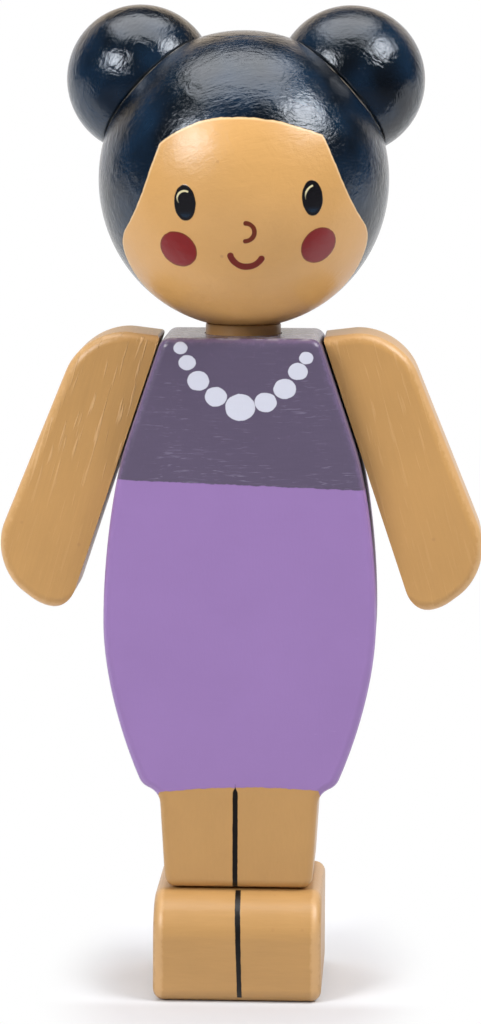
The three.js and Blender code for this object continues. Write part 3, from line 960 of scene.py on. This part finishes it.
def follow(tree, value, points):
    """Reads a number off a smooth line drawn through points."""
    xs = [x for x, _ in points]
    ys = [y for _, y in points]
    low, high = min(ys), max(ys)
    node = tree.nodes.new("ShaderNodeFloatCurve")
    line = node.mapping.curves[0]
    shares = [((x - xs[0]) / (xs[-1] - xs[0]), (y - low) / (high - low)) for x, y in points]
    line.points[0].location = shares[0]
    line.points[1].location = shares[-1]
    for share in shares[1:-1]:
        line.points.new(*share)
    node.mapping.update()
    share_along = calc(tree, "DIVIDE", minus(tree, value, xs[0]), xs[-1] - xs[0], clamp=True)
    feed(tree, node.inputs["Value"], share_along)
    return calc(tree, "MULTIPLY_ADD", node.outputs[0], high - low, low)


def lacquer(tree, points):
    """Glossy blue-black lacquer that keeps the marks of the brush and a slight orange peel."""
    streaks, drift = apply_effect(tree, brush_strokes, points, 5.0)
    colour = mix(tree, ramp(tree, drift, 0.35, 0.7), hair_black, hair_blue)
    roughness = calc(tree, "MULTIPLY_ADD", streaks, 0.11, 0.05)
    peel = noise(tree, points, 0.5, 3.0, 0.55, 0.8)
    relief = calc(tree, "MULTIPLY_ADD", peel, 0.00010, times(tree, streaks, 0.00009))
    return colour, roughness, relief


def lacquered(name, paint):
    """A finish with the strong and slightly blue shine of lacquer."""
    return finish(name, paint, ior=1.6, specular_tint=(0.86, 0.92, 1, 1))


def face_distance(tree, points):
    """How far inside the hairline a point of the face is, in millimetres."""
    x, y, z = axes(tree, points)
    brow = follow(
        tree,
        x,
        (
            (-13.0, 2.6),
            (-10.2, 5.1),
            (-6.9, 7.0),
            (-4.2, 7.8),
            (-1.1, 7.95),
            (2.4, 7.6),
            (5.9, 6.65),
            (8.9, 5.55),
            (13.0, 3.6),
        ),
    )
    temple = follow(
        tree,
        z,
        (
            (-17.5, 89.0),
            (-15.0, 80.5),
            (-12.0, 74.5),
            (-9.4, 69.6),
            (-8.3, 67.7),
            (-7.1, 65.1),
            (-5.8, 60.7),
            (-3.7, 51.2),
            (-1.0, 43.7),
            (1.9, 39.0),
            (5.3, 34.9),
            (9.0, 30.5),
        ),
    )
    turned = calc(tree, "ARCTAN2", x, times(tree, y, -1.0))
    off_middle = calc(tree, "ABSOLUTE", plus(tree, turned, math.radians(2.2)))
    within = minus(tree, times(tree, temple, math.pi / 180), off_middle)
    from_axis = calc(tree, "SQRT", plus(tree, calc(tree, "POWER", x, 2.0), calc(tree, "POWER", y, 2.0)))
    sideways = times(tree, within, from_axis)
    return calc(tree, "MINIMUM", minus(tree, brow, z), sideways)


def head_paint(tree):
    points = place(tree, centre=head_centre, turn=(0, face_lean, face_turn))
    swept = place(tree, centre=head_centre, turn=hair_sweep)
    colour, roughness, height = lacquer(tree, swept)
    face_colour, face_rough, face_height = tan_paint(tree, swept, 2.5, 0.5, tan_on_face)
    from_head = place(tree, centre=head_centre)
    # Pale patches painted along the rims of the bun seats, as a highlight
    for side in (1, -1):
        above_rim = minus(tree, along(tree, from_head, bun_direction(side)), bun_seat / mm)
        rim = ramp(tree, calc(tree, "ABSOLUTE", plus(tree, above_rim, 0.05)), 0.14, 0.05)
        painted_shading = ramp(tree, noise(tree, points, 0.5, 3.0), 0.38, 0.6)
        colour = mix(tree, times(tree, times(tree, rim, painted_shading), 0.45), colour, seat_rim_highlight)

    distance = face_distance(tree, points)
    face = paint_mask(tree, points, distance, 0.28, 0.06)
    thin_edge = times(tree, ramp(tree, distance, 0.34, 0.14), 0.75)
    face_colour = mix(tree, thin_edge, face_colour, hairline_cream)
    colour = mix(tree, face, colour, face_colour)

    marks = []
    for x, z, lean in ((-8.32, -7.29, -45), (8.09, -7.33, 45)):
        inside = apply_effect(tree, oval, points, x, z, 2.33, 1.87, math.radians(lean))[0]
        cheek = paint_mask(tree, points, inside, 0.12, 0.05)
        red = mix(tree, ramp(tree, inside, 0.22, 0.08), cheek_red, cheek_rim)
        marks.append((times(tree, cheek, face), red))
    for start, middle, end, half_width, paint in (
        ((-0.50, -4.34), (0.52, -5.40), (-0.58, -6.46), 0.27, nose_brown),
        ((-2.33, -8.14), (-0.39, -9.55), (1.30, -8.61), 0.38, mouth_red),
    ):
        off = apply_effect(tree, arc, points, *arc_through(start, middle, end))[0]
        inside = minus(tree, half_width, off)
        stroke = paint_mask(tree, points, inside, 0.12, 0.05)
        marks.append((times(tree, stroke, face), paint))
    height_on_face = axes(tree, points)[2]
    for x, z, glint in (
        (-7.46, -1.82, ((-0.74, 0.05), (-0.44, 1.28), (0.32, 1.32))),
        (7.42, -1.68, ((-0.80, -0.1), (-0.68, 0.80), (0.02, 1.42))),
    ):
        inside = apply_effect(tree, oval, points, x, z, 1.24, 2.11, math.radians(2.4))[0]
        eye = paint_mask(tree, points, inside, 0.1, 0.05)
        # The lower part of each eye is painted blue, as a reflection
        painted_reflection_low = ramp(tree, height_on_face, z - 0.9, z - 1.7)
        eye_paint = mix(tree, times(tree, painted_reflection_low, ramp(tree, inside, 0.1, 0.35)), eye_black, eye_reflection_blue)
        marks.append((times(tree, eye, face), eye_paint))
        glint_line = arc_through(*((x + across, z + rise) for across, rise in glint))
        off = apply_effect(tree, arc, points, *glint_line)[0]
        thickness = ramp(tree, height_on_face, z - 0.1, z + 1.2, 0.04, 0.11)
        within = minus(tree, thickness, off)
        shine = paint_mask(tree, points, within, 0.06, 0.05)
        fading = ramp(tree, height_on_face, z - 0.2, z + 0.9, 0.2, 1.0)
        marks.append((times(tree, times(tree, shine, fading), face), eye_glint))
    marked = 0.0
    for mask, paint in marks:
        colour = mix(tree, mask, colour, paint)
        marked = calc(tree, "MAXIMUM", marked, mask)
    painted = plus(tree, face, marked)

    face_rough = calc(tree, "MULTIPLY_ADD", marked, -0.08, minus(tree, face_rough, 0.03))
    less_rough = minus(tree, face_rough, roughness)
    roughness = calc(tree, "MULTIPLY_ADD", less_rough, face, roughness)
    flatter = calc(tree, "MULTIPLY_ADD", face, -0.5, 1.0)
    height = times(tree, height, flatter)
    height = calc(tree, "MULTIPLY_ADD", times(tree, face_height, face), 0.5, height)
    height = calc(tree, "MULTIPLY_ADD", painted, 0.00003, height)
    return colour, roughness, height


head_finish = lacquered("head_paint", head_paint)
sand(head, "head_ball", head_finish, "hair_lacquer", "head", "head", crease=4.5)


def hair_paint(tree):
    return lacquer(tree, place(tree, centre=head_centre, turn=hair_sweep))


hair_finish = lacquered("hair_lacquer", hair_paint)
sand(plug, "crown_plug", hair_finish, "hair_lacquer", "head", "head_plug")

# Hair buns. Two smaller turned balls, each sawn flat where it is glued on its dowel to the head, lacquered
# like the hair. They stand up, out and a little back.
bun_radius = 9 * mm
bun_reach = 18 * mm
bun_gap = 0.3 * mm


def turn_bun(side):
    direction = bun_direction(side)
    centre = head_centre + bun_reach * direction
    bpy.ops.mesh.primitive_uv_sphere_add(
        segments=96,
        ring_count=45,
        radius=bun_radius,
        location=centre,
        rotation=direction.to_track_quat("Z", "Y").to_euler(),
    )
    bun = bpy.context.object
    settle()
    flat = head_centre + (bun_seat + bun_gap) * direction
    ease_rim(bun, saw_flat(bun, flat, -direction), spacing=0.1 * mm, offset=0.3 * mm)
    bore(bun, flat - mm * direction, flat + dowel_depth * direction, dowel_bore)
    return bun


def bun_finish(side):
    def paint(tree):
        centre = head_centre + bun_reach * bun_direction(side)
        turn = (0, math.radians(-35 * side), math.radians(50))
        return lacquer(tree, place(tree, centre=centre, turn=turn))

    return lacquered("bun_lacquer", paint)


for side, suffix in ((1, "left"), (-1, "right")):
    sand(turn_bun(side), "bun_" + suffix, bun_finish(side), "hair_lacquer", "head", "hair_bun_" + suffix)

# Arms. Sawn from a thinner board and rounded over, except along the flat inner face that lies against the
# slanting side of the body. Each is bored for the knot of the elastic and turns about that bore. One arm is
# made, and its copy is turned half round.
arm_half_depth = 5.75 * mm
arm_edge_round = 1.3 * mm
arm_above = 8.3 * mm
arm_below = 28.5 * mm
arm_top_thickness = 9.1 * mm
arm_hand_thickness = 11.1 * mm
arm_top_slant = math.radians(11.5)
hand_slant = math.radians(18.7)
knot_bore = 2.6 * mm
knot_bore_depth = 7.5 * mm


def along_corner(axis, across, height):
    """A test for the edges that run along one corner of a board."""
    return both_ends(lambda p: abs(p[axis] - across) < touching and abs(p.z - height) < touching)


def saw_to_outline(inner, outer_top, outer_bottom, half_depth, allowance, rounds):
    """A board sawn to the arm's outline between an inner and an outer side; each corner has its tangent."""
    top, bottom = math.tan(arm_top_slant), math.tan(hand_slant)
    corners = {
        (-1, 1): (inner, arm_above + allowance - inner * top),
        (1, 1): (outer_top, arm_above + allowance - outer_top * top),
        (1, -1): (outer_bottom, outer_bottom * bottom - arm_below - allowance),
        (-1, -1): (inner, inner * bottom - arm_below - allowance),
    }
    bpy.ops.mesh.primitive_cube_add(size=2)
    board = bpy.context.object
    for vertex in board.data.vertices:
        x, z = corners[(round(vertex.co.x), round(vertex.co.z))]
        vertex.co = Vector((x, math.copysign(half_depth, vertex.co.y), z))
    for corner, tangent in rounds.items():
        round_over(board, along_corner(0, *corners[corner]), tangent * mm, 16)
    return board


def saw_arm():
    """An arm in its own frame: x runs out from the inner face, and the bore is at the origin."""
    arm = saw_to_outline(
        -arm_edge_round,
        arm_top_thickness,
        arm_hand_thickness,
        arm_half_depth,
        0,
        {(1, 1): 5.74, (1, -1): 5.53, (-1, -1): 6.41},
    )
    round_over(arm, rims(1, arm_half_depth), arm_edge_round, 8)
    beyond = 1.5 * arm_hand_thickness
    inner_side = {(-1, 1): 0.61, (-1, -1): 4.6}
    saw_guide = saw_to_outline(0, beyond, beyond, 2 * arm_half_depth, 0.03 * mm, inner_side)
    cut_with(arm, saw_guide, "INTERSECT")
    bore(arm, Vector((-mm, 0, 0)), Vector((knot_bore_depth, 0, 0)), knot_bore)
    return arm


def arm_finish(side):
    def paint(tree):
        along_arm = place(tree, centre=(side * 0.02, 0, 0.06), turn=(0, -side * shoulder_tilt, 0))
        bowed = place(tree, along_arm, turn=(0, side * math.radians(3), 0), unit=(1, 1, 1))
        strength = 1.0 if side < 0 else 0.6
        colour, roughness, height = tan_paint(tree, bowed, 14.0, strength, tan_on_arms)
        x, y, z = axes(tree, place(tree))
        # A lighter tan painted along the rounded edges, as a highlight
        edge = apply_effect(tree, edge_highlight_band, bowed, y, 4.55, 5.6)[0]
        colour = mix(tree, times(tree, edge, 0.4), colour, tan_highlight)
        # Fine furrows in the paint; their lighter tan is a painted highlight, strongest high on the arm
        furrows = noise(tree, place(tree, bowed, unit=(0.34, 1, 5)), 1.0, 1.5, 0.5, 0.4)
        high_up = ramp(tree, z, 58.0, 70.0, 0.15, 1.0 if side < 0 else 0.3)
        furrow_and_highlight = times(tree, ramp(tree, furrows, 0.60, 0.70), high_up)
        colour = mix(tree, times(tree, furrow_and_highlight, 0.55), colour, tan_highlight)
        return colour, roughness, calc(tree, "MULTIPLY_ADD", furrow_and_highlight, 0.00005, height)

    return finish("arm_paint", paint)


left_arm = saw_arm()
right_arm = left_arm.copy()
right_arm.data = left_arm.data.copy()
bpy.context.collection.objects.link(right_arm)
hang = Matrix.Translation(shoulder) @ Matrix.Rotation(-shoulder_tilt, 4, "Y")
left_arm.matrix_world = hang
right_arm.matrix_world = Matrix.Rotation(math.pi, 4, "Z") @ hang
sand(left_arm, "left_arm", arm_finish(1), "skin_paint", "arm_left", "arm_left")
sand(right_arm, "right_arm", arm_finish(-1), "skin_paint", "arm_right", "arm_right")

# Feet. One block with a rolled toe, bored from the sole for the toggle that holds the elastic, with a round
# plug in the sole. The line between the feet is painted from the ankle down over the toe.
feet_half_width = 10.15 * mm
feet_height = 13 * mm
toe = -13 * mm
heel = 9.5 * mm
toe_round = 5.5 * mm
feet_edge_round = 1.6 * mm
feet_side_round = 1.3 * mm
sole_plug_thickness = 2.2 * mm
sole_plug_radius = 4.9 * mm


def saw_feet():
    bpy.ops.mesh.primitive_cube_add(size=2, location=(0, (toe + heel) / 2, feet_height / 2))
    block = bpy.context.object
    block.scale = (feet_half_width, (heel - toe) / 2, feet_height / 2)
    settle()
    for y, z, radius, segments in (
        (toe, feet_height, toe_round, 14),
        (toe, 0, feet_edge_round, 5),
        (heel, feet_height, feet_edge_round, 5),
        (heel, 0, feet_edge_round, 5),
    ):
        round_over(block, along_corner(1, y, z), radius, segments)
    round_over(block, rims(0, feet_half_width), feet_side_round, 6)
    bore(block, foot_bore_line + 6 * mm * up, foot_bore_line + 14 * mm * up, string_bore)
    bore(block, foot_bore_line - mm * up, foot_bore_line + 7 * mm * up, toggle_bore, 64)
    return block


def feet_paint(tree):
    points = place(tree)
    x, y, z = axes(tree, points)
    across = place(tree, turn=(0, math.radians(90), 0))
    colour, roughness, height = tan_paint(tree, across, 9.0, 0.8)
    # A lighter tan painted along the rounded side edges, as a highlight
    edge = apply_effect(tree, edge_highlight_band, points, x, 9.0, 10.0)[0]
    colour = mix(tree, times(tree, edge, 0.4), colour, tan_highlight)
    middle = calc(tree, "MULTIPLY_ADD", z, -0.03, 0.38)
    half_width = ramp(tree, z, 1.0, 12.0, 0.29, 0.33)
    within = minus(tree, half_width, calc(tree, "ABSOLUTE", minus(tree, x, middle)))
    past_ankle = minus(tree, calc(tree, "ABSOLUTE", y), 8.55)
    over_sole = minus(tree, z, 0.6)
    within = calc(tree, "MINIMUM", within, calc(tree, "MINIMUM", past_ankle, over_sole))
    line = paint_mask(tree, points, within, 0.12, 0.04)
    colour = mix(tree, line, colour, line_black)
    return colour, roughness, calc(tree, "MULTIPLY_ADD", line, 0.00003, height)


feet = saw_feet()
feet_finish = finish("feet_paint", feet_paint)
sand(feet, "feet_block", feet_finish, "skin_paint", "feet", "feet")

sole_plug = turn_pin(foot_bore_line, foot_bore_line + sole_plug_thickness * up, sole_plug_radius)
sand(sole_plug, "plug_in_sole", feet_finish, "skin_paint", "feet", "sole_plug")

# Table, daylight lamps and room. The table is white and takes a soft shadow, and a light grey is painted on
# it in front of the feet as shadow. A wide lamp hangs overhead and two smaller ones stand left and right of
# the camera; the lacquer shows them as soft pale patches.
table_white = linear(218, 220, 224)
table_bounce = linear(206, 206, 208)
# A light grey painted on the table in front of the feet, as shadow
table_painted_shadow = linear(199, 198, 200)
table_shade = linear(70, 70, 72)
shadow_stretch = 2.5
# Where the table changes in front of the feet and round them, in millimetres
shade_from = -8
shade_full = -45
# Where the grey painted shadow in front of the feet starts and where it is full
painted_shadow_from = -11
painted_shadow_full = -16
shadow_reach = 14
blank_from = 25


def light_path(tree, kind):
    return tree.nodes.new("ShaderNodeLightPath").outputs[kind]


bpy.ops.mesh.primitive_plane_add(size=6)
table = bpy.context.object
table.name = "table"
table_material = bpy.data.materials.new("white_table")
table_material.use_nodes = True
table_tree = table_material.node_tree
table_shader = table_tree.nodes["Principled BSDF"]
table_shader.inputs["Roughness"].default_value = 0.8
on_table = place(table_tree)
from_feet = table_tree.nodes.new("ShaderNodeVectorMath")
from_feet.operation = "LENGTH"
feed(table_tree, from_feet.inputs[0], place(table_tree, unit=(mm, shadow_stretch * mm, mm)))
seen = light_path(table_tree, "Is Camera Ray")
mirrored = light_path(table_tree, "Is Glossy Ray")
depth = axes(table_tree, on_table)[1]
in_front = ramp(table_tree, depth, shade_from, shade_full)
shaded = times(table_tree, in_front, mirrored)
# In front of the feet the table is painted grey, as shadow
painted_shadow_share = ramp(table_tree, depth, painted_shadow_from, painted_shadow_full)
seen_white = mix(table_tree, painted_shadow_share, table_white, table_painted_shadow)
table_colour = mix(table_tree, seen, mix(table_tree, shaded, table_bounce, table_shade), seen_white)
feed(table_tree, table_shader.inputs["Base Color"], table_colour)
seen_or_mirrored = calc(table_tree, "MAXIMUM", seen, minus(table_tree, mirrored, in_front))
far = ramp(table_tree, from_feet.outputs["Value"], shadow_reach, blank_from)
glow = table_tree.nodes.new("ShaderNodeEmission")
blank = table_tree.nodes.new("ShaderNodeMixShader")
feed(table_tree, blank.inputs[0], times(table_tree, far, seen_or_mirrored))
feed(table_tree, blank.inputs[1], table_shader.outputs[0])
feed(table_tree, blank.inputs[2], glow.outputs[0])
feed(table_tree, table_tree.nodes["Material Output"].inputs["Surface"], blank.outputs[0])
table.data.materials.append(table_material)


def lamp(name, aim, direction, distance, width, height, radiance):
    """A soft rectangular lamp that looks at one spot; radiance 1 looks as bright as white."""
    towards = Vector(direction).normalized()
    bpy.ops.object.light_add(type="AREA", location=aim + distance * towards)
    light = bpy.context.object
    light.name = name
    light.data.shape = "RECTANGLE"
    light.data.size = width
    light.data.size_y = height
    light.data.energy = radiance * math.pi * width * height
    light.rotation_euler = towards.to_track_quat("Z", "Y").to_euler()
    return light


middle = Vector((0, 0, 70 * mm))
above_crown = Vector((-0.045, 0.035, 0.07))
from_left = (-0.58, -0.62, 0.50)
from_right = (0.65, -0.25, 0.71)
lamp("overhead", above_crown, (0, 0, 1), distance=0.65, width=0.69, height=0.58, radiance=3.6)
lamp("left_lamp", middle, from_left, distance=0.6, width=0.23, height=0.23, radiance=13.5)
lamp("right_lamp", middle, from_right, distance=0.6, width=0.30, height=0.24, radiance=11.5)

wall_white = (0.96, 0.94, 0.93, 1)
wall_warm = (1.0, 0.82, 0.62, 1)
room_grey = (0.19, 0.19, 0.195, 1)
room_in_lacquer = (0.04, 0.05, 0.06, 1)
white = (1, 1, 1, 1)
room = bpy.data.worlds.new("room")
bpy.context.scene.world = room
room.use_nodes = True
room_tree = room.node_tree
background = room_tree.nodes["Background"]
looking = room_tree.nodes.new("ShaderNodeTexCoord").outputs["Generated"]
sideways, backwards, upwards = axes(room_tree, looking)
behind = ramp(room_tree, calc(room_tree, "MULTIPLY_ADD", sideways, -0.08, backwards), 0.59, 0.66)
low = ramp(room_tree, upwards, 0.60, 0.54)
backdrop = mix(room_tree, ramp(room_tree, upwards, 0.12, 0.35), wall_white, wall_warm)
mirrored = light_path(room_tree, "Is Glossy Ray")
dim_room = mix(room_tree, mirrored, room_grey, room_in_lacquer)
wall = mix(room_tree, times(room_tree, behind, low), dim_room, backdrop)
room_colour = mix(room_tree, light_path(room_tree, "Is Camera Ray"), wall, white)
feed(room_tree, background.inputs["Color"], room_colour)
